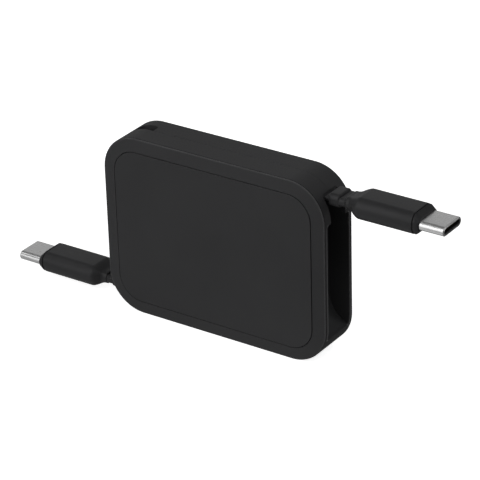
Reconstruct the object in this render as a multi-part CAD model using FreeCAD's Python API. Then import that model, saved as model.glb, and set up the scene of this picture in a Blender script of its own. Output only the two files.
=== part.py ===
import FreeCAD, Part
import math
import os

# Retractable charging cable: a flat case holds a sprung spool, and a flat cable leaves it at both
# ends in a folding plug. X runs along the plugs, Y from front to back and Z up.
# Everything is modelled about the middle of the case, then raised so that the base is at Z = 0.
# All sizes are in millimetres.

# Case
case_length = 64.0
case_height = 48.0
case_depth = 12.0
corner_radius = 10.0
rim_rise = 0.55
rim_edge_round = 0.3
seam_chamfer = 0.06
side_wall = 1.4
face_wall = 1.3

# Cover panels in the front and rear faces
panel_inset = 3.6
panel_gap = 0.16
panel_thickness = 0.85
panel_proud = 0.1
panel_edge_round = 0.12

# Screws that join the two shells
screw_inset_x = 10.0
screw_inset_z = 9.5
screw_radius = 0.8
screw_length = 7.6
screw_head_radius = 1.5
screw_head_height = 0.9
screw_hole_clearance = 0.1
screw_thread_clearance = 0.02
boss_radius = 2.0

# Flat cable and the coil that it is wound into
cable_width = 5.2
cable_thickness = 1.2
cable_edge_round = 0.55
coil_clearance = 0.05
lead_tip = 4.0

# Spool
spool_clearance = 1.33
drum_radius = 9.6
drum_wall = 1.0
drum_floor = 0.9
flange_margin = 1.0
flange_gap = 0.3
axle_radius = 2.0
axle_seat = 0.6
axle_fit = 0.02
running_gap = 0.05
washer_radius = 4.0
washer_thickness = 0.35
cover_thickness = 0.7
cover_ledge = 0.4

# Power spring
spring_turns = 6
spring_thickness = 0.2
spring_axle_gap = 0.15
spring_end_gap = 0.15

# Ball latch
ball_radius = 0.8
ball_play = 0.1
track_inset = 5.57
track_depth = 0.5
track_notches = 3

# Plug, from its fold axis out to its tip
bead_radius = 0.75
bead_width = 5.8
bead_chamfer = 0.25
bead_insert = 0.4
fold_gap = 0.1
relief_setback = 1.15
relief_length = 3.0
relief_width = 6.0
relief_thickness = 3.3
relief_round = 1.2
relief_chamfer = 0.3
relief_gap = 1.5
web_wall = 0.3
web_thickness = 2.2
neck_length = 1.4
neck_width = 6.0
neck_thickness = 3.2
neck_round = 1.2
taper_length = 1.7
shoulder_length = 0.9
shoulder_width = 8.7
shoulder_thickness = 4.9
shoulder_round = 2.1
grip_length = 15.4
grip_width = 9.4
grip_thickness = 5.6
grip_round = 2.4
nose_length = 1.3
nose_width = 8.7
nose_thickness = 3.2
nose_round = 1.5
nose_groove_width = 0.45
nose_groove_depth = 0.3

# Metal plug shell and what it holds
shell_reach = 6.4
shell_seat = 7.8
shell_width = 8.25
shell_thickness = 2.4
shell_wall = 0.25
shell_edge_round = 0.3
lip_length = 0.35
lip_width = 0.2
mould_fit = 0.02
core_setback = 1.0
mouth_width = 6.8
mouth_height = 0.9
mouth_depth = 6.0
contact_count = 12
contact_pitch = 0.5
contact_width = 0.25
contact_length = 4.6
contact_height = 0.12
contact_setback = 0.7
latch_arm_length = 4.8
latch_arm_thickness = 0.2
latch_arm_height = 0.6
latch_hook = 0.22
latch_hook_length = 0.8
board_width = 6.2
board_thickness = 0.8
board_setback = 1.5

# Bay for the folded plug, with a narrower throat above it for the plug's neck
bay_clearance = 0.2
bay_head = 0.87
bay_round = 0.8
bay_floor_wall = 1.2
throat_clearance = 0.2
throat_drop = 5.9
scoop_before_tip = 4.3
scoop_past_tip = 3.2
slot_side_clearance = 0.3
slot_height_clearance = 0.2

# Lanyard slot in the corner of the rear shell
lanyard_angle = 99.5
lanyard_length = 5.4
lanyard_width = 2.6
lanyard_depth = 4.5
lanyard_round = 1.0
lanyard_bar_radius = 0.7
lanyard_bar_depth = 2.4
lanyard_wall = 1.2

# Places across the case, from the middle out
half_depth = case_depth / 2
screw_reach_x = case_length / 2 - screw_inset_x
screw_reach_z = case_height / 2 - screw_inset_z
face_y = half_depth + rim_rise
panel_top = face_y + panel_proud
panel_seat = panel_top - panel_thickness
cavity_y = panel_seat - face_wall
flange_in = cable_width / 2 + flange_gap
flange_out = cavity_y - washer_thickness - running_gap
flange_radius = case_height / 2 - side_wall - spool_clearance
coil_radius = flange_radius - flange_margin
track_radius = flange_radius - track_inset
cup_radius = drum_radius - drum_wall
cover_radius = cup_radius + cover_ledge
cover_in = flange_out - cover_thickness
cup_floor = flange_out - drum_floor

# Places along a plug, from its fold axis out
cable_start = bead_radius + fold_gap
relief_start = bead_radius + relief_setback
relief_end = relief_start + relief_length
neck_start = relief_end + relief_gap
taper_start = neck_start + neck_length
shoulder_start = taper_start + taper_length
grip_start = shoulder_start + shoulder_length
nose_start = grip_start + grip_length
nose_end = nose_start + nose_length
plug_tip = nose_end + shell_reach
shell_start = nose_end - shell_seat
core_start = shell_start + core_setback
core_end = plug_tip - lip_length - mould_fit
board_start = grip_start + board_setback
mouth_start = core_end - mouth_depth

# The cable leaves the coil as a tangent, and the folded plug lies flush in its bay.
cable_z = coil_radius - cable_thickness / 2
bay_depth = grip_thickness + bay_clearance
bay_half_width = grip_width / 2 + bay_clearance
throat_half_width = max(bead_width, relief_width) / 2 + throat_clearance
bay_floor = case_length / 2 - bay_depth
bay_top = cable_z + bay_head
throat_end = cable_z - throat_drop
fold_x = bay_floor + bay_clearance + grip_thickness / 2
folded_tip = cable_z - plug_tip

over = 1.0
origin = FreeCAD.Vector(0, 0, 0)
along_x = FreeCAD.Vector(1, 0, 0)
along_y = FreeCAD.Vector(0, 1, 0)


def outline(width, height, radius, place):
    # Closed rounded rectangle. place turns its two coordinates into a point in space.
    half_u = width / 2 - radius
    half_v = height / 2 - radius
    corners = [(half_u, half_v), (-half_u, half_v), (-half_u, -half_v), (half_u, -half_v)]
    arcs = []
    for quarter, (u, v) in enumerate(corners):
        points = []
        for step in (0, 0.5, 1):
            angle = (quarter + step) * math.pi / 2
            points.append(place(u + radius * math.cos(angle), v + radius * math.sin(angle)))
        arcs.append(points)
    edges = []
    for index, points in enumerate(arcs):
        following = arcs[(index + 1) % len(arcs)][0]
        edges.append(Part.Arc(*points).toShape())
        if points[2].distanceToPoint(following) > 1e-6:
            edges.append(Part.makeLine(points[2], following))
    return Part.Wire(edges)


def across_x(x):
    return lambda y, z: FreeCAD.Vector(x, y, z)


def across_y(y):
    return lambda x, z: FreeCAD.Vector(x, y, z)


def slab(length, height, radius, y_low, y_high):
    face = Part.Face(outline(length, height, radius, across_y(y_low)))
    return face.extrude(along_y * (y_high - y_low))


def bar(width, thickness, radius, x_low, x_high):
    face = Part.Face(outline(width, thickness, radius, across_x(x_low)))
    return face.extrude(along_x * (x_high - x_low))


def stadium(width, thickness, x_low, x_high):
    return bar(width, thickness, thickness / 2, x_low, x_high)


def disc(radius, y_low, y_high, x=0.0, z=0.0):
    return Part.makeCylinder(radius, y_high - y_low, FreeCAD.Vector(x, y_low, z), along_y)


def ring(inner, outer, y_low, y_high):
    return disc(outer, y_low, y_high).cut(disc(inner, y_low - over, y_high + over))


def block(x_range, y_range, z_range):
    sizes = [high - low for low, high in (x_range, y_range, z_range)]
    return Part.makeBox(*sizes, FreeCAD.Vector(x_range[0], y_range[0], z_range[0]))


def mirrored(shape):
    return shape.mirror(origin, along_y)


def half_turned(shape):
    turned = shape.copy()
    turned.rotate(origin, along_y, 180)
    return turned


def raised(shape, height):
    moved = shape.copy()
    moved.translate(FreeCAD.Vector(0, 0, height))
    return moved


def edges_at_y(shape, y):
    return [edge for edge in shape.Edges
            if abs(edge.BoundBox.YMin - y) < 1e-6 and abs(edge.BoundBox.YMax - y) < 1e-6]


def edges_at_x(shape, x):
    return [edge for edge in shape.Edges
            if abs(edge.BoundBox.XMin - x) < 1e-6 and abs(edge.BoundBox.XMax - x) < 1e-6]


def screw_places():
    return [(x, z) for x in (-screw_reach_x, screw_reach_x) for z in (-screw_reach_z, screw_reach_z)]


def shell_blank():
    # Front half of the case, solid: a crisp edge, then a border that rises gently to the panel.
    blank = slab(case_length, case_height, corner_radius, -face_y, 0)
    blank = blank.makeChamfer(seam_chamfer, edges_at_y(blank, 0))
    blank = blank.makeChamfer(rim_rise, panel_inset, edges_at_y(blank, -face_y)[:1])
    return blank.makeFillet(rim_edge_round, edges_at_y(blank, -half_depth))


def bay_space():
    # Room for the right plug when it is folded: a throat for its neck, then a wider bay with a flat
    # floor that scoops out below the plug's tip.
    mouth = case_length / 2 + over
    scoop_start = folded_tip + scoop_before_tip
    scoop_end = folded_tip - scoop_past_tip
    drop = scoop_start - scoop_end
    radius = (bay_depth ** 2 + drop ** 2) / (2 * bay_depth)
    sweep = math.asin(drop / radius)
    low = -bay_half_width

    def at(x, z):
        return FreeCAD.Vector(x, low, z)

    def on_scoop(angle):
        return at(bay_floor + radius * (1 - math.cos(angle)), scoop_start - radius * math.sin(angle))

    edges = [Part.makeLine(at(mouth, bay_top), at(bay_floor, bay_top)),
             Part.makeLine(at(bay_floor, bay_top), at(bay_floor, scoop_start)),
             Part.Arc(on_scoop(0), on_scoop(sweep / 2), on_scoop(sweep)).toShape(),
             Part.makeLine(on_scoop(sweep), at(mouth, scoop_end)),
             Part.makeLine(at(mouth, scoop_end), at(mouth, bay_top))]
    side_view = Part.Face(Part.Wire(edges)).extrude(along_y * (2 * bay_half_width))

    def upright(half_width, z_low, z_high):
        shape = bar(2 * half_width, z_high - z_low, bay_round, bay_floor - over, mouth + over)
        return raised(shape, (z_low + z_high) / 2)

    throat = upright(throat_half_width, scoop_end, bay_top)
    wide_bay = upright(bay_half_width, scoop_end - bay_round - over, throat_end)
    return side_view.common(throat.fuse(wide_bay))


def cable_slot():
    half_width = cable_width / 2 + slot_side_clearance
    half_height = cable_thickness / 2 + slot_height_clearance
    return block((bay_floor - bay_floor_wall - over, bay_floor + over), (-half_width, half_width),
                 (cable_z - half_height, cable_z + half_height))


def half_shell():
    # What both shells share, modelled as the front one.
    shell = shell_blank()
    recess_inset = 2 * (panel_inset - panel_gap)
    shell = shell.cut(slab(case_length - recess_inset, case_height - recess_inset,
                           corner_radius - recess_inset / 2, -face_y - over, -panel_seat))
    cavity = slab(case_length - 2 * side_wall, case_height - 2 * side_wall,
                  corner_radius - side_wall, -cavity_y, over)
    inner_x = bay_floor - bay_floor_wall
    cavity = cavity.common(block((-inner_x, inner_x), (-face_y, 2 * over), (-case_height, case_height)))
    for x, z in screw_places():
        cavity = cavity.cut(disc(boss_radius, -face_y, 0, x, z))
    shell = shell.cut(cavity)
    for space in (bay_space(), cable_slot()):
        shell = shell.cut(space).cut(half_turned(space))
    return shell


def axle_socket():
    return disc(axle_radius + axle_fit, -cavity_y - axle_seat - axle_fit, 0)


def front_shell():
    # A moulded ring round the axle keeps the spool off the wall.
    thrust_ring = disc(washer_radius, -cavity_y - over / 2, -flange_out - running_gap)
    shell = half_shell().fuse(thrust_ring).removeSplitter().cut(axle_socket())
    depth = screw_length + screw_head_height - panel_seat + screw_thread_clearance
    for x, z in screw_places():
        shell = shell.cut(disc(screw_radius + screw_thread_clearance, -depth, over, x, z))
    return shell


def lanyard_pocket():
    # Slot in the corner for a lanyard, with a round bar across it. It is open at the seam.
    upright = Part.Face(outline(lanyard_length, 2 * lanyard_width, lanyard_round,
                                lambda x, y: FreeCAD.Vector(x, y, -lanyard_depth)))
    pocket = upright.extrude(FreeCAD.Vector(0, 0, lanyard_depth + over))
    pocket = pocket.cut(disc(lanyard_bar_radius, -case_depth, case_depth, 0, -lanyard_bar_depth))
    return place_in_corner(pocket)


def place_in_corner(shape):
    # From upright at the origin to the outside of the upper left corner.
    angle = math.radians(lanyard_angle)
    centre_x = corner_radius - case_length / 2
    centre_z = case_height / 2 - corner_radius
    shape.rotate(origin, along_y, 90 - lanyard_angle)
    shape.translate(FreeCAD.Vector(centre_x + corner_radius * math.cos(angle), 0,
                                   centre_z + corner_radius * math.sin(angle)))
    return shape


def lanyard_block():
    # Walls round the lanyard slot, ending inside the case's own wall.
    half_length = lanyard_length / 2 + lanyard_wall
    deep = cavity_y + face_wall / 2
    walls = block((-half_length, half_length), (0, deep), (-lanyard_depth - lanyard_wall, over))
    within = slab(case_length - side_wall, case_height - side_wall, corner_radius - side_wall / 2, 0, deep)
    return place_in_corner(walls).common(within)


def ball_slot():
    half_width = ball_radius + ball_play
    reach = 2 * half_width
    depth = flange_out - track_depth + 2 * (ball_radius + ball_play)
    return block((-half_width, half_width), (0, depth), (track_radius - reach, track_radius + reach))


def rear_shell():
    shell = mirrored(half_shell()).fuse(lanyard_block()).removeSplitter()
    shell = shell.cut(lanyard_pocket()).cut(mirrored(axle_socket())).cut(ball_slot())
    head_seat = panel_seat - screw_head_height
    for x, z in screw_places():
        shell = shell.cut(disc(screw_radius + screw_hole_clearance, -over, face_y, x, z))
        shell = shell.cut(disc(screw_head_radius + screw_hole_clearance, head_seat, face_y, x, z))
    return shell


def front_panel():
    plate = slab(case_length - 2 * panel_inset, case_height - 2 * panel_inset,
                 corner_radius - panel_inset, -panel_top, -panel_seat)
    return plate.makeFillet(panel_edge_round, edges_at_y(plate, -panel_top))


def case_screws():
    screws = []
    head_seat = panel_seat - screw_head_height
    for x, z in screw_places():
        head = disc(screw_head_radius, head_seat, panel_seat, x, z)
        screws.append(head.fuse(disc(screw_radius, head_seat - screw_length, head_seat, x, z)))
    return Part.Compound(screws)


def spool():
    # One moulding: a drum between two flanges, hollow for the spring and open to the front.
    body = disc(drum_radius, -flange_in, flange_in)
    body = body.fuse([disc(flange_radius, -flange_out, -flange_in),
                      disc(flange_radius, flange_in, flange_out)]).removeSplitter()
    body = body.cut(disc(cup_radius, -flange_out - over, cup_floor))
    body = body.cut(disc(cover_radius + running_gap, -flange_out - over, -cover_in))
    body = body.cut(disc(axle_radius + running_gap, 0, flange_out + over))
    return body.cut(latch_track())


def latch_track():
    # Round track in the rear flange for the latch ball, with notches where the ball locks.
    half_width = ball_radius + ball_play
    floor = flange_out - track_depth
    track = ring(track_radius - half_width, track_radius + half_width, floor, flange_out + over)
    notches = []
    for index in range(track_notches):
        angle = 2 * math.pi * index / track_notches
        reach = track_radius - half_width
        notches.append(disc(half_width, floor, flange_out + over,
                            reach * math.cos(angle), reach * math.sin(angle)))
    return track.fuse(notches).removeSplitter()


def power_spring():
    # Flat spiral of tangent half circles, from just off the axle to just off the cup's wall.
    room = cup_radius - axle_radius - 2 * spring_axle_gap - spring_thickness
    pitch = room / spring_turns
    first = axle_radius + spring_axle_gap + pitch / 4 + spring_thickness / 2
    low = -cover_in + spring_end_gap

    def half_circle(index, offset):
        radius = first + index * pitch / 2 + offset
        side = 1 if index % 2 == 0 else -1
        centre = -side * pitch / 4
        points = [FreeCAD.Vector(centre + side * radius * math.cos(angle), low,
                                 side * radius * math.sin(angle))
                  for angle in (0, math.pi / 2, math.pi)]
        return Part.Arc(*points).toShape()

    halves = range(2 * spring_turns)
    outer = [half_circle(index, spring_thickness / 2) for index in halves]
    inner = [half_circle(index, -spring_thickness / 2) for index in halves]
    start_cap = Part.makeLine(inner[0].firstVertex().Point, outer[0].firstVertex().Point)
    end_cap = Part.makeLine(outer[-1].lastVertex().Point, inner[-1].lastVertex().Point)
    section = Part.Face(Part.Wire(outer + [end_cap] + inner[::-1] + [start_cap]))
    return section.extrude(along_y * (cup_floor - spring_end_gap - low))


def spring_cover():
    return ring(axle_radius + running_gap, cover_radius, -flange_out, -cover_in)


def spool_axle():
    return disc(axle_radius, -cavity_y - axle_seat, cavity_y + axle_seat)


def spool_washer():
    return ring(axle_radius + axle_fit, washer_radius, flange_out + running_gap, cavity_y)


def latch_ball():
    centre_y = flange_out - track_depth + ball_radius + ball_play
    return Part.makeSphere(ball_radius, FreeCAD.Vector(0, centre_y, track_radius))


def cable_coil():
    return ring(drum_radius + coil_clearance, coil_radius, -cable_width / 2, cable_width / 2)


def cable_run(x_low, x_high):
    return bar(cable_width, cable_thickness, cable_edge_round, x_low, x_high)


def lead_cable():
    # The cable's last straight length, from the coil's outer turn to the bead.
    run = raised(cable_run(lead_tip, fold_x - bead_radius + bead_insert), cable_z)
    return run.cut(disc(coil_radius + coil_clearance, -case_depth, case_depth))


def lead_bead():
    bead = disc(bead_radius, -bead_width / 2, bead_width / 2)
    ends = edges_at_y(bead, -bead_width / 2) + edges_at_y(bead, bead_width / 2)
    bead = bead.makeChamfer(bead_chamfer, ends)
    return bead.cut(cable_run(-bead_radius - over, -bead_radius + bead_insert))


def strain_relief():
    # Short sleeve on the cable, with a thinner web from it to the grip's neck.
    blank = bar(relief_width, relief_thickness, relief_round, relief_start, relief_end)
    ends = edges_at_x(blank, relief_start) + edges_at_x(blank, relief_end)
    web = bar(cable_width + 2 * web_wall, web_thickness, cable_edge_round + web_wall,
              relief_end - relief_length / 2, neck_start)
    sleeve = blank.makeChamfer(relief_chamfer, ends).fuse(web).removeSplitter()
    return sleeve.cut(cable_run(relief_start - over, neck_start + over))


def neck_cable():
    return cable_run(cable_start, board_start)


def overmold():
    # Neck sleeve, steep shoulder, straight grip, groove and bevelled nose, moulded over the cable,
    # board and shell.
    neck = outline(neck_width, neck_thickness, neck_round, across_x(taper_start))
    shoulder = outline(shoulder_width, shoulder_thickness, shoulder_round, across_x(shoulder_start))
    grip_back = outline(grip_width, grip_thickness, grip_round, across_x(grip_start))
    grip_front = outline(grip_width, grip_thickness, grip_round, across_x(nose_start))
    nose = outline(nose_width, nose_thickness, nose_round, across_x(nose_end))
    groove_start = nose_start - nose_groove_width
    body = bar(neck_width, neck_thickness, neck_round, neck_start, taper_start)
    body = body.fuse([Part.makeLoft([neck, shoulder, grip_back], True, True),
                      bar(grip_width, grip_thickness, grip_round, grip_start, groove_start),
                      bar(grip_width - 2 * nose_groove_depth, grip_thickness - 2 * nose_groove_depth,
                          grip_round - nose_groove_depth, groove_start, nose_start),
                      Part.makeLoft([grip_front, nose], True, True)])
    hollow = cable_run(neck_start - over, board_start)
    hollow = hollow.fuse([plug_board(),
                          stadium(shell_width + 2 * mould_fit, shell_thickness + 2 * mould_fit,
                                  shell_start, nose_end + over)])
    return body.removeSplitter().cut(hollow)


def plug_shell():
    # Seamless metal shell, rolled in to a narrower lip at the tip.
    blank = stadium(shell_width, shell_thickness, shell_start, plug_tip)
    blank = blank.makeFillet(shell_edge_round, edges_at_x(blank, plug_tip))
    inner_width = shell_width - 2 * shell_wall
    inner_thickness = shell_thickness - 2 * shell_wall
    blank = blank.cut(stadium(inner_width, inner_thickness, shell_start - over, plug_tip - lip_length))
    return blank.cut(stadium(inner_width - 2 * lip_width, inner_thickness - 2 * lip_width,
                             shell_start, plug_tip + over))


def plug_core():
    blank = stadium(shell_width - 2 * shell_wall - 2 * mould_fit,
                    shell_thickness - 2 * shell_wall - 2 * mould_fit, core_start, core_end)
    return blank.cut(block((mouth_start, core_end + over), (-mouth_width / 2, mouth_width / 2),
                           (-mouth_height / 2, mouth_height / 2)))


def contacts():
    fingers = []
    front = core_end - contact_setback
    for index in range(contact_count):
        y = (index - (contact_count - 1) / 2) * contact_pitch
        y_range = (y - contact_width / 2, y + contact_width / 2)
        upper = (mouth_height / 2 - contact_height, mouth_height / 2)
        finger = block((front - contact_length, front), y_range, upper)
        fingers.append(finger)
        fingers.append(finger.mirror(origin, FreeCAD.Vector(0, 0, 1)))
    return Part.Compound(fingers)


def side_latches():
    # Spring arm on each side wall of the mouth, with a hook that bends inwards near the front.
    wall = mouth_width / 2
    inner = wall - latch_arm_thickness
    front = core_end - contact_setback
    back = front - latch_arm_length
    corners = [(back, wall), (front, wall), (front, inner), (front - latch_hook_length, inner - latch_hook),
               (front - 2 * latch_hook_length, inner), (back, inner), (back, wall)]
    wire = Part.makePolygon([FreeCAD.Vector(x, y, -latch_arm_height / 2) for x, y in corners])
    arm = Part.Face(wire).extrude(FreeCAD.Vector(0, 0, latch_arm_height))
    return Part.Compound([arm, mirrored(arm)])


def plug_board():
    return block((board_start, core_start), (-board_width / 2, board_width / 2),
                 (-board_thickness / 2, board_thickness / 2))


def on_fold_axis(shape):
    moved = shape.copy()
    moved.translate(FreeCAD.Vector(fold_x, 0, cable_z))
    return moved


nodes = {
    "front_shell": front_shell(),
    "rear_shell": rear_shell(),
    "front_panel": front_panel(),
    "rear_panel": mirrored(front_panel()),
    "case_screws": case_screws(),
    "spool_axle": spool_axle(),
    "spool_washer": spool_washer(),
    "latch_ball": latch_ball(),
    "spool": spool(),
    "spring_cover": spring_cover(),
    "power_spring": power_spring(),
    "cable_coil": cable_coil(),
}
right_side = {
    "lead_cable": lead_cable(),
    "lead_bead": on_fold_axis(lead_bead()),
    "strain_relief": on_fold_axis(strain_relief()),
    "neck_cable": on_fold_axis(neck_cable()),
    "overmold": on_fold_axis(overmold()),
    "plug_shell": on_fold_axis(plug_shell()),
    "plug_core": on_fold_axis(plug_core()),
    "contacts": on_fold_axis(contacts()),
    "side_latches": on_fold_axis(side_latches()),
    "plug_board": on_fold_axis(plug_board()),
}
for name, shape in right_side.items():
    nodes["right_" + name] = shape
    nodes["left_" + name] = half_turned(shape)

os.makedirs("parts", exist_ok=True)
for name, shape in nodes.items():
    raised(shape, case_height / 2).exportStep("parts/" + name + ".step")
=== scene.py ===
import math

import bmesh
import bpy
from mathutils import Matrix, Vector


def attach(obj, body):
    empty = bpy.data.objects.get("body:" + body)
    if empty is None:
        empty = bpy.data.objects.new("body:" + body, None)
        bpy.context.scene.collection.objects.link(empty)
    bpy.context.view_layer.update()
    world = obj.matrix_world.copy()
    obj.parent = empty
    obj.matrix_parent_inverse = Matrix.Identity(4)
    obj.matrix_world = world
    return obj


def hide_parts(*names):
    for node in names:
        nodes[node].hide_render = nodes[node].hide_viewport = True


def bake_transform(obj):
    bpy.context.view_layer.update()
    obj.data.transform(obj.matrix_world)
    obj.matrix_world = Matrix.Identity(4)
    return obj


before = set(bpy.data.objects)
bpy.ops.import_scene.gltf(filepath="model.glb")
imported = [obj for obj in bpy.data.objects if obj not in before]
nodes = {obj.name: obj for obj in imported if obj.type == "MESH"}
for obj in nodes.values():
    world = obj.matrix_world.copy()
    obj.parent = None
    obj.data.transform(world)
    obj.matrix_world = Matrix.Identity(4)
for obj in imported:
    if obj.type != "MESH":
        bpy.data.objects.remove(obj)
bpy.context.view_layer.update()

mm = 0.001
sides = ("right", "left")


# sRGB hex, as read off a colour card, to linear light
def linearColour(hexValue):
    channels = [int(hexValue[i:i + 2], 16) / 255 for i in (1, 3, 5)]
    linear = [c / 12.92 if c <= 0.04045 else ((c + 0.055) / 1.055) ** 2.4 for c in channels]
    return (*linear, 1.0)


def addNode(tree, kind, settings=None, values=None, links=None):
    node = tree.nodes.new(kind)
    for name, value in (settings or {}).items():
        setattr(node, name, value)
    for name, value in (values or {}).items():
        node.inputs[name].default_value = value
    for name, source in (links or {}).items():
        tree.links.new(source, node.inputs[name])
    return node


def addNoise(tree, place, scale, detail):
    noise = addNode(tree, "ShaderNodeTexNoise", None, {"Scale": scale, "Detail": detail}, {"Vector": place})
    return noise.outputs["Fac"]


def addMath(tree, operation, links, values=None):
    return addNode(tree, "ShaderNodeMath", {"operation": operation}, values, links).outputs["Value"]


def mapRange(tree, value, before, after):
    limits = {"From Min": before[0], "From Max": before[1], "To Min": after[0], "To Max": after[1]}
    return addNode(tree, "ShaderNodeMapRange", None, limits, {"Value": value}).outputs["Result"]


# Lays a hex colour over the colour that a socket gives
def paintOver(tree, amount, under, hexValue):
    mixed = addNode(tree, "ShaderNodeMix", {"data_type": "RGBA"}, {"B": linearColour(hexValue)},
                    {"Factor": amount, "A": under})
    return mixed.outputs["Result"]


def newMaterial(name, values):
    material = bpy.data.materials.new(name)
    material.use_nodes = True
    tree = material.node_tree
    shader = tree.nodes["Principled BSDF"]
    for socket, value in values.items():
        shader.inputs[socket].default_value = value
    return material, tree, shader


def perMetre(sizeMm):
    return 1 / (sizeMm * mm)


# Between a look's two colours
def toneFrom(tree, look, amount):
    tone = addNode(tree, "ShaderNodeMix", {"data_type": "RGBA"},
                   {"A": linearColour(look["colour"]), "B": linearColour(look["paler"])}, {"Factor": amount})
    return tone.outputs["Result"]


noiseRange = (0.3, 0.7)  # noise seldom goes past these


def roughnessFrom(tree, look, noise):
    middle, spread = look["roughness"], look["roughSpread"]
    return mapRange(tree, noise, noiseRange, (middle - spread, middle + spread))


# Painted highlight and painted shade for the case. Its convex outer edges are painted paler, as the glint of
# light
# along them: a convex edge has thin material behind it, and edgePlaceMm with edgeBandMm, from the middle
# plane, leave out the seam and the edges round the panels. A fine near-black line is painted round beside
# each rim as the shade in the seam there.
def paintEdgeGlintAndSeamShade(tree, place, colour, look):
    thin = addNode(tree, "ShaderNodeAmbientOcclusion",
                   {"inside": True, "only_local": True, "samples": look["edgeSamples"]},
                   {"Distance": look["edgeMm"] * mm})
    # painted highlight: how much paler each convex edge is painted, for the glint of light along it
    glint = mapRange(tree, thin.outputs["AO"], look["edgeThin"], (look["edgeGlint"], 0.0))
    across = addNode(tree, "ShaderNodeSeparateXYZ", None, None, {"Vector": place})
    depth = addMath(tree, "ABSOLUTE", {0: across.outputs["Y"]})
    outer = addMath(tree, "COMPARE", {0: depth}, {1: look["edgePlaceMm"] * mm, 2: look["edgeBandMm"] * mm})
    amount = addMath(tree, "MULTIPLY", {0: glint, 1: outer})
    glinted = paintOver(tree, amount, colour, look["glintColour"])
    # painted shade: a near-black line beside each rim, for the shadow in the seam there
    seamShade = addMath(tree, "COMPARE", {0: depth},
                      {1: look["partingMm"] * mm, 2: look["partingWidthMm"] / 2 * mm})
    return paintOver(tree, seamShade, glinted, look["seamShadeColour"])


# Moulded plastic: a fine grain for the skin, and a broad cloud where the pigment is a little uneven.
def mouldedPlastic(name, look):
    material, tree, shader = newMaterial(name, {"IOR": look["ior"]})
    place = addNode(tree, "ShaderNodeTexCoord").outputs["Object"]
    grain = addNoise(tree, place, perMetre(look["grainMm"]), look["grainDetail"])
    cloud = addNoise(tree, place, perMetre(look["cloudMm"]), look["cloudDetail"])
    bump = addNode(tree, "ShaderNodeBump", None,
                   {"Distance": look["grainDepthMm"] * mm, "Strength": 1.0}, {"Height": grain})
    colour = toneFrom(tree, look, cloud)
    # painted highlight on the outer edges and painted seam shade, on the case only
    if "edgeMm" in look:
        colour = paintEdgeGlintAndSeamShade(tree, place, colour, look)
    tree.links.new(colour, shader.inputs["Base Color"])
    tree.links.new(roughnessFrom(tree, look, grain), shader.inputs["Roughness"])
    tree.links.new(bump.outputs["Normal"], shader.inputs["Normal"])
    return material


# Metal with fine lines, as left by drawing, rolling or grinding.
def linedMetal(name, look):
    material, tree, shader = newMaterial(name, {"Metallic": look["metallic"]})
    place = addNode(tree, "ShaderNodeTexCoord").outputs["Object"]
    along, across = perMetre(look["lineLengthMm"]), perMetre(look["lineMm"])
    stretch = addNode(tree, "ShaderNodeMapping", None, {"Scale": (along, across, across)}, {"Vector": place})
    line = addNoise(tree, stretch.outputs["Vector"], 1.0, look["lineDetail"])
    tree.links.new(toneFrom(tree, look, line), shader.inputs["Base Color"])
    tree.links.new(roughnessFrom(tree, look, line), shader.inputs["Roughness"])
    return material


# The real skin has a grain of about 0.05 mm. It is drawn at 0.35 to 0.5 mm, as coarse as it needs to show.
sparkEroded = {"colour": "#363637", "paler": "#3d3d3e", "roughness": 0.5, "roughSpread": 0.05, "ior": 1.17,
               "grainMm": 0.4, "grainDetail": 3.0, "grainDepthMm": 0.006, "cloudMm": 18.0,
               "cloudDetail": 2.0}
plasticLooks = {
    # ABS from a spark-eroded tool: even charcoal with no clear reflections; painted highlight on its edges,
    # painted seam shade by its rims
    "sparkErodedAbs": dict(sparkEroded, edgeMm=0.45, edgeSamples=8, edgeThin=(0.6, 0.95), edgeGlint=1.0,
                           edgePlaceMm=5.2, edgeBandMm=0.9, glintColour="#707071", partingMm=5.75,
                           partingWidthMm=0.16, seamShadeColour="#0a0a0a"),
    # ABS plate from a blasted tool: the same charcoal, flatter and a little finer than the border round it
    "matteAbsPlate": dict(sparkEroded, grainMm=0.35, grainDepthMm=0.005, roughness=0.52),
    # TPE moulded over the plug: nearly smooth, so a soft satin streak runs along its rounded edges
    "satinTpe": dict(sparkEroded, colour="#303031", paler="#373738", roughness=0.38, ior=1.2,
                     grainDepthMm=0.002, grainMm=0.5),
    # TPE extruded as a flat sheath: darker than the mouldings, with a dull even sheen
    "extrudedTpe": dict(sparkEroded, colour="#2a2a2b", paler="#303031", roughness=0.45, grainDepthMm=0.003,
                        ior=1.24),
    # Liquid crystal polymer, moulded: dead black in the plug's mouth
    "blackLcp": dict(sparkEroded, colour="#050505", paler="#080808", roughness=0.6, ior=1.3),
    # Nylon, stamped from sheet: milky, with a low sheen
    "naturalNylon": dict(sparkEroded, colour="#d6d2c4", paler="#e2dfd4", roughness=0.45, ior=1.5),
    # Acetal, moulded: off-white and waxy
    "naturalAcetal": dict(sparkEroded, colour="#cfcdc6", paler="#dcdad3", roughness=0.3, ior=1.48),
    # Glass laminate under solder mask: dark green and glossy
    "maskedLaminate": dict(sparkEroded, colour="#0f3d24", paler="#15492c", roughness=0.3, ior=1.5),
}
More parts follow.
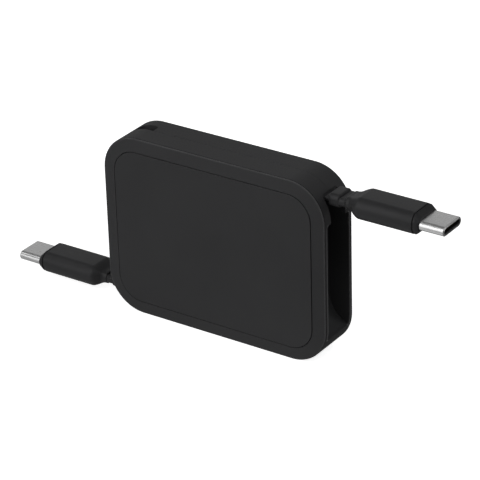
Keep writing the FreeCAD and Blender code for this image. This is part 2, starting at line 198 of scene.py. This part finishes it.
# The real lines are 0.01 to 0.05 mm wide, and are drawn several times coarser so that they show.
bareMetal = {"metallic": 1.0, "roughSpread": 0.05, "lineDetail": 2.0}
metalLooks = {
    # Nickel plate on a drawn tube: neutral grey, bright on the turned edges, faint lines along the draw
    "drawnNickel": dict(bareMetal, colour="#bdbdbd", paler="#c8c8c8", metallic=0.8, roughness=0.3,
                        lineMm=0.25, lineLengthMm=6.0),
    # Gold flash on stamped contacts: thin yellow glints
    "goldFlash": dict(bareMetal, colour="#c99a45", paler="#ddb563", roughness=0.28, lineMm=0.1,
                      lineLengthMm=2.0),
    # Zinc plate on cold-headed screws: blue-grey and slightly cloudy
    "zincedSteel": dict(bareMetal, colour="#8d8f93", paler="#a4a6aa", roughness=0.34, roughSpread=0.06,
                        lineMm=0.2, lineLengthMm=0.6),
    # Ground steel: clean and bright
    "groundSteel": dict(bareMetal, colour="#a3a3a5", paler="#b9b9bb", roughness=0.22, lineMm=0.15,
                        lineLengthMm=0.15),
    # Rolled and blued spring strip: dark slate blue, streaked along the roll
    "bluedSteel": dict(bareMetal, colour="#39424f", paler="#4b5564", roughness=0.3, roughSpread=0.06,
                       lineMm=0.3, lineLengthMm=4.0),
}
finish = {name: mouldedPlastic(name, look) for name, look in plasticLooks.items()}
finish.update({name: linedMetal(name, look) for name, look in metalLooks.items()})


def dress(material, *names):
    for name in names:
        slots = nodes[name].data.materials
        slots.clear()
        slots.append(finish[material])


dress("sparkErodedAbs", "front_shell", "rear_shell")
dress("matteAbsPlate", "front_panel", "rear_panel")
dress("zincedSteel", "case_screws")
dress("groundSteel", "spool_axle")
dress("naturalNylon", "spool_washer")
dress("naturalAcetal", "spool", "spring_cover")
dress("bluedSteel", "power_spring")
for side in sides:
    dress("extrudedTpe", side + "_neck_cable")
    dress("drawnNickel", side + "_side_latches")
    dress("blackLcp", side + "_plug_core")
    dress("goldFlash", side + "_contacts")
    dress("maskedLaminate", side + "_plug_board")
print("dressed the nodes")

foldAxis = {"x": 29.2, "z": 43.67}  # mm, of the right plug
middleHeight = 24  # mm, of the case's middle and the spool's axis
caseMiddle = Matrix.Translation((0, 0, middleHeight * mm))
turnFor = {"right": Matrix.Identity(4),
           "left": caseMiddle @ Matrix.Rotation(math.pi, 4, "Y") @ caseMiddle.inverted()}

# From a mesh in mm about the fold axis or the spool's axis to a piece in its place
atFold = Matrix.Translation((foldAxis["x"] * mm, 0, foldAxis["z"] * mm)) @ Matrix.Scale(mm, 4)
plugPlace = {side: turnFor[side] @ atFold for side in sides}
spoolPlace = caseMiddle @ Matrix.Scale(mm, 4)

modelling = {
    "creaseAngle": math.radians(35),  # edges sharper than this shade as creases
    "nearMm": 1e-4,  # points this close lie in the same plane
    "weldMm": 1e-5,  # points this close become one
    "roundProfile": 0.5,  # of a bevel, for a circular arc
}


def roundOff(shape, items, width, steps, kind):
    bmesh.ops.bevel(shape, geom=items, offset=width, offset_type="OFFSET", segments=steps, affect=kind,
                    profile=modelling["roundProfile"], clamp_overlap=kind == "EDGES", material=-1)


# Edges that lie in the planes at this distance along an axis, on both sides with mirrored
def edgesAt(shape, axis, reach, mirrored=False):
    def isThere(vert):
        place = abs(vert.co[axis]) if mirrored else vert.co[axis]
        return abs(place - reach) < modelling["nearMm"]
    return [edge for edge in shape.edges if all(isThere(vert) for vert in edge.verts)]


def softenRing(shape, reach, width, steps):
    roundOff(shape, edgesAt(shape, 0, reach), width, steps, "EDGES")


# Rounded rectangle across X, as one face
def sectionFace(shape, reach, width, thickness, radius, steps):
    unitSquare = bmesh.ops.create_grid(shape, x_segments=1, y_segments=1, size=0.5)
    corners = unitSquare["verts"]
    stand = Matrix.Rotation(math.pi / 2, 4, "Y")
    bmesh.ops.transform(shape, verts=corners, matrix=Matrix.Diagonal((1, width, thickness, 1)) @ stand)
    bmesh.ops.translate(shape, verts=corners, vec=(reach, 0, 0))
    roundOff(shape, corners, radius, steps, "VERTICES")
    return shape.faces[:][-1]


# Pushes the face on to each next (reach, width, thickness), and returns the last face.
def pushThrough(shape, face, sections):
    for before, after in zip(sections, sections[1:]):
        pushed = bmesh.ops.extrude_face_region(shape, geom=[face])["geom"]
        if before != sections[0]:
            bmesh.ops.delete(shape, geom=[face], context="FACES_ONLY")  # only the back keeps its face
        face = next(item for item in pushed if isinstance(item, bmesh.types.BMFace))
        grow = Matrix.Diagonal((1, after[1] / before[1], after[2] / before[2], 1))
        middle = Matrix.Translation((after[0], 0, 0))
        bmesh.ops.translate(shape, verts=face.verts, vec=(after[0] - before[0], 0, 0))
        bmesh.ops.transform(shape, verts=face.verts, matrix=middle @ grow @ middle.inverted())
    return face


# Closed bar through the sections, with its long edges rounded
def addBar(shape, sections, cornerRound, cornerSteps):
    face = sectionFace(shape, *sections[0], cornerRound, cornerSteps)
    pushThrough(shape, face, sections)


def finishPiece(shape, name, place, material, slot, body, *replaced):
    bmesh.ops.remove_doubles(shape, verts=shape.verts, dist=modelling["weldMm"])
    bmesh.ops.recalc_face_normals(shape, faces=shape.faces)
    bmesh.ops.transform(shape, verts=shape.verts, matrix=place)
    for face in shape.faces:
        face.smooth = True
    for edge in shape.edges:
        edge.smooth = edge.calc_face_angle(0) < modelling["creaseAngle"]
    mesh = bpy.data.meshes.new(name)
    shape.to_mesh(mesh)
    shape.free()
    mesh.materials.append(finish[material])
    piece = bpy.data.objects.new(name, mesh)
    bpy.context.collection.objects.link(piece)
    even = piece.modifiers.new("even shading", "WEIGHTED_NORMAL")
    even.keep_sharp = True
    if body:
        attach(piece, body)
    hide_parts(*replaced)
    return piece


# The sizes of the pieces are in mm. A section is its reach along X, its width and its thickness.
groove = (25.35, 25.8)  # reach of its two walls
grip = {
    "sections": [(6.4, 6.0, 3.2), (7.8, 6.0, 3.2), (9.5, 8.7, 4.9), (10.4, 9.4, 5.6), (groove[0], 9.4, 5.6),
                 (groove[0], 8.8, 5.0), (groove[1], 8.8, 5.0), (groove[1], 9.4, 5.6), (27.1, 8.7, 3.2)],
    "cornerRound": 1.45,
    "cornerSteps": 8,
    # reach of each edge loop, how far it is rounded, and in how many steps
    "soft": [(6.4, 0.35, 3), (7.8, 0.7, 4), (9.5, 0.45, 4), (10.4, 0.35, 4), (27.1, 0.25, 3),
             (groove[0], 0.1, 2), (groove[1], 0.1, 2)],
}


def addGrip(side):
    shape = bmesh.new()
    addBar(shape, grip["sections"], grip["cornerRound"], grip["cornerSteps"])
    for reach, width, steps in grip["soft"]:
        softenRing(shape, reach, width, steps)
    finishPiece(shape, side + "Grip", plugPlace[side], "satinTpe", "grip_elastomer", side + "_plug",
                side + "_overmold")


relief = {"sleeve": [(1.9, 6.0, 3.3), (4.9, 6.0, 3.3)], "sleeveRound": 1.2, "cornerSteps": 6,
          "endSoft": (0.5, 4), "web": [(4.2, 5.8, 2.2), (6.4, 5.8, 2.2)], "webRound": 0.85}


# Sleeve on the cable, and the thinner web that joins it to the grip's neck
def addRelief(side):
    shape = bmesh.new()
    for part in ("sleeve", "web"):
        addBar(shape, relief[part], relief[part + "Round"], relief["cornerSteps"])
    for reach, _, _ in relief["sleeve"]:
        softenRing(shape, reach, *relief["endSoft"])
    finishPiece(shape, side + "Relief", plugPlace[side], "satinTpe", "grip_elastomer", side + "_plug",
                side + "_strain_relief")


bead = {"radius": 0.75, "width": 5.8, "steps": 32, "endSoft": 0.25, "endSteps": 4}


def addBead(side):
    shape = bmesh.new()
    lie = Matrix.Rotation(math.pi / 2, 4, "X")
    bmesh.ops.create_cone(shape, cap_ends=True, segments=bead["steps"], radius1=bead["radius"],
                          radius2=bead["radius"], depth=bead["width"], matrix=lie)
    ends = edgesAt(shape, 1, bead["width"] / 2, mirrored=True)
    roundOff(shape, ends, bead["endSoft"], bead["endSteps"], "EDGES")
    finishPiece(shape, side + "Bead", plugPlace[side], "satinTpe", "grip_elastomer", side + "_lead",
                side + "_lead_bead")


# cornerRound is just under half the thickness, so that each corner stays a corner of its own
plugTube = {"start": 19.3, "tip": 33.5, "width": 8.25, "thickness": 2.4, "cornerRound": 1.19,
            "cornerSteps": 10, "tipSoft": 0.28, "tipSteps": 4, "wall": 0.25, "lip": 0.2, "lipLength": 0.35}


# Drawn tube, rolled in at its tip to a narrower lip
def addPlugTube(side):
    shape = bmesh.new()
    back, tip = plugTube["start"], plugTube["tip"]
    lipEnd = tip - plugTube["lipLength"]
    outer = (plugTube["width"], plugTube["thickness"])
    rolled = [size - 2 * plugTube["tipSoft"] for size in outer]
    wide = [size - 2 * plugTube["wall"] for size in outer]
    narrow = [size - 2 * plugTube["lip"] for size in wide]
    face = sectionFace(shape, back, *outer, plugTube["cornerRound"], plugTube["cornerSteps"])
    outerRing = list(face.edges)
    pushThrough(shape, face, [(back, *outer), (tip, *outer)])
    softenRing(shape, tip, plugTube["tipSoft"], plugTube["tipSteps"])
    face = max(shape.faces, key=lambda item: (len(item.verts), item.calc_center_median().x))
    inner = pushThrough(shape, face, [(tip, *rolled), (tip, *narrow), (lipEnd, *narrow), (lipEnd, *wide),
                                      (back, *wide)])
    innerRing = list(inner.edges)
    caps = [item for item in shape.faces if len(item.verts) > 4]  # the walls are all quads
    bmesh.ops.delete(shape, geom=caps, context="FACES_ONLY")
    bmesh.ops.bridge_loops(shape, edges=outerRing + innerRing)
    finishPiece(shape, side + "PlugTube", plugPlace[side], "drawnNickel", "plug_metal", side + "_plug",
                side + "_plug_shell")


lead = {"start": -20.0, "length": 19.4, "steps": 24, "width": 5.2, "thickness": 1.2, "cornerRound": 0.55,
        "cornerSteps": 4, "blendStart": -4.6, "blendEnd": -1.3}


# The cable where it leaves the coil, as a straight flat bar in steps up to the bead. It rides on no body, so
# it stays put when the bead is pulled out.
def addLead(side):
    shape = bmesh.new()
    reaches = [lead["start"] + step * lead["length"] / lead["steps"] for step in range(lead["steps"] + 1)]
    addBar(shape, [(reach, lead["width"], lead["thickness"]) for reach in reaches], lead["cornerRound"],
           lead["cornerSteps"])
    piece = finishPiece(shape, side + "Lead", plugPlace[side], "extrudedTpe", "cable_sheath", None,
                        side + "_lead_cable")
    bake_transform(piece)


coil = {"turns": 9, "inner": 9.65, "outer": 20.27, "width": 5.2, "gap": 0.04, "cornerRound": 0.5,
        "cornerSteps": 3, "steps": 96}


# Flat cable wound like tape, one ring for each turn
def addCoil():
    shape = bmesh.new()
    pitch = (coil["outer"] - coil["inner"]) / coil["turns"]
    for turn in range(coil["turns"]):
        face = sectionFace(shape, 0, coil["width"], pitch - coil["gap"], coil["cornerRound"],
                           coil["cornerSteps"])
        section = list(face.verts)
        outline = list(face.edges)
        bmesh.ops.translate(shape, verts=section, vec=(0, 0, coil["inner"] + (turn + 0.5) * pitch))
        bmesh.ops.delete(shape, geom=[face], context="FACES_ONLY")
        bmesh.ops.spin(shape, geom=outline, cent=(0, 0, 0), axis=(0, 1, 0), angle=2 * math.pi,
                       steps=coil["steps"], use_merge=True)
    finishPiece(shape, "cableCoil", spoolPlace, "extrudedTpe", "cable_sheath", "spool", "cable_coil")


ball = {"radius": 0.8, "place": (0, 4.5, 15.7), "divisions": 4}


# Even triangles all round, where the solid's own mesh has an empty face at each pole
def addBall():
    shape = bmesh.new()
    bmesh.ops.create_icosphere(shape, subdivisions=ball["divisions"], radius=ball["radius"],
                               matrix=Matrix.Translation(ball["place"]))
    finishPiece(shape, "latchBall", spoolPlace, "groundSteel", "ball_steel", "case", "latch_ball")


addCoil()
addBall()
for side in sides:
    addGrip(side)
    addRelief(side)
    addBead(side)
    addPlugTube(side)
    addLead(side)
print("modelled the coil, ball, plugs and leads")

# place in metres, angles in degrees, lens and sensor in mm
camera = {"place": (0.32150, -0.45683, 0.30897), "azimuth": 34.82, "elevation": 27.06, "roll": -1.694,
          "lens": 193.34, "sensor": 36.0}


def addCamera(look):
    data = bpy.data.cameras.new("photo camera")
    data.lens = look["lens"]
    data.sensor_width = look["sensor"]
    turn = (Matrix.Rotation(math.radians(look["azimuth"]), 4, "Z")
            @ Matrix.Rotation(math.radians(90 - look["elevation"]), 4, "X")
            @ Matrix.Rotation(math.radians(look["roll"]), 4, "Z"))
    seen = bpy.data.objects.new("photo camera", data)
    seen.matrix_world = Matrix.Translation(look["place"]) @ turn
    bpy.context.collection.objects.link(seen)
    bpy.context.scene.camera = seen


# The surroundings go from dim to glow towards glowFrom, over the cosines in glowSpread.
studio = {"floorColour": "#f2f2f2", "floorSize": 6.0, "floorRoughness": 0.9, "floorGlow": 0.85, "dim": 0.14,
          "glow": 0.49, "glowFrom": (-0.45, -0.45, -0.77), "glowSpread": (0.4, 0.95)}


def addFloor(look):
    mesh = bpy.data.meshes.new("floor")
    shape = bmesh.new()
    bmesh.ops.create_grid(shape, x_segments=1, y_segments=1, size=look["floorSize"] / 2)
    shape.to_mesh(mesh)
    shape.free()
    floor = bpy.data.objects.new("floor", mesh)
    bpy.context.collection.objects.link(floor)
    paper = newMaterial("lit paper floor", {
        "Base Color": linearColour(look["floorColour"]), "Roughness": look["floorRoughness"],
        "Emission Color": linearColour("#ffffff"), "Emission Strength": look["floorGlow"]})[0]
    mesh.materials.append(paper)
    floor.visible_glossy = floor.visible_diffuse = False  # the part stands clear of the paper's glare


def addSurroundings(look):
    world = bpy.data.worlds.new("studio")
    bpy.context.scene.world = world
    world.use_nodes = True
    tree = world.node_tree
    outward = addNode(tree, "ShaderNodeTexCoord").outputs["Generated"]
    facing = addNode(tree, "ShaderNodeVectorMath", {"operation": "DOT_PRODUCT"}, {1: look["glowFrom"]},
                     {0: outward})
    strength = mapRange(tree, facing.outputs["Value"], look["glowSpread"], (look["dim"], look["glow"]))
    background = tree.nodes["Background"]
    background.inputs["Color"].default_value = linearColour("#ffffff")
    tree.links.new(strength, background.inputs["Strength"])


softboxes = {
    # name: place, target, size in metres, radiance, and whether it lights, shows in reflections or both
    "back left wall": ((-0.9, 1.2, 0.55), (0, 0, 0.02), (1.6, 0.9), 0.52, "both"),
    "front left strip": ((-0.75, -1.25, 0.40), (0, 0, 0.03), (0.7, 0.45), 1.0, "both"),
    "front left flood": ((-0.75, -1.25, 0.40), (0, 0, 0.03), (0.7, 0.45), 3.9, "lights"),
    "front fill": ((-0.1, -0.55, 0.5), (0, 0, 0.03), (0.25, 0.25), 4.6, "both"),
    "right fill": ((1.15, 0.7, 0.15), (0, 0, 0.02), (0.6, 0.6), 3.5, "both"),
    "back right wall": ((0.8, 1.1, 0.95), (0, 0, 0), (1.0, 0.8), 0.12, "both"),
    "top fill": ((0.15, 0.6, 1.5), (0, 0, 0), (1.0, 1.0), 0.5, "both"),
    "upper right": ((0.84, -0.48, 1.2), (0, 0, 0.02), (0.35, 0.35), 6.5, "both"),
    "upper left": ((-0.8, -0.45, 1.1), (0, 0, 0.02), (0.35, 0.35), 3.1, "both"),
    # white cards close by on the left and low down, which the right plug mirrors
    "plug card": ((-0.139, -0.261, 0.13), (0.059, 0, 0.043), (0.15, 0.30), 2.5, "reflects"),
    "low card": ((-0.06, -0.14, -0.14), (0.055, 0, 0.04), (0.16, 0.22), 0.4, "reflects"),
}


def addSoftbox(name, place, target, size, radiance, use):
    data = bpy.data.lights.new(name, "AREA")
    data.shape = "RECTANGLE"
    data.size, data.size_y = size
    data.energy = radiance * math.pi * size[0] * size[1]  # watts, for the same brightness at any size
    box = bpy.data.objects.new(name, data)
    aim = Vector(target) - Vector(place)
    box.matrix_world = Matrix.Translation(place) @ aim.to_track_quat("-Z", "Y").to_matrix().to_4x4()
    box.visible_diffuse = use != "reflects"
    box.visible_glossy = use != "lights"
    bpy.context.collection.objects.link(box)


addCamera(camera)
addFloor(studio)
addSurroundings(studio)
for name, settings in softboxes.items():
    addSoftbox(name, *settings)
bpy.context.scene.view_settings.view_transform = "Standard"
print("set the camera and lights")
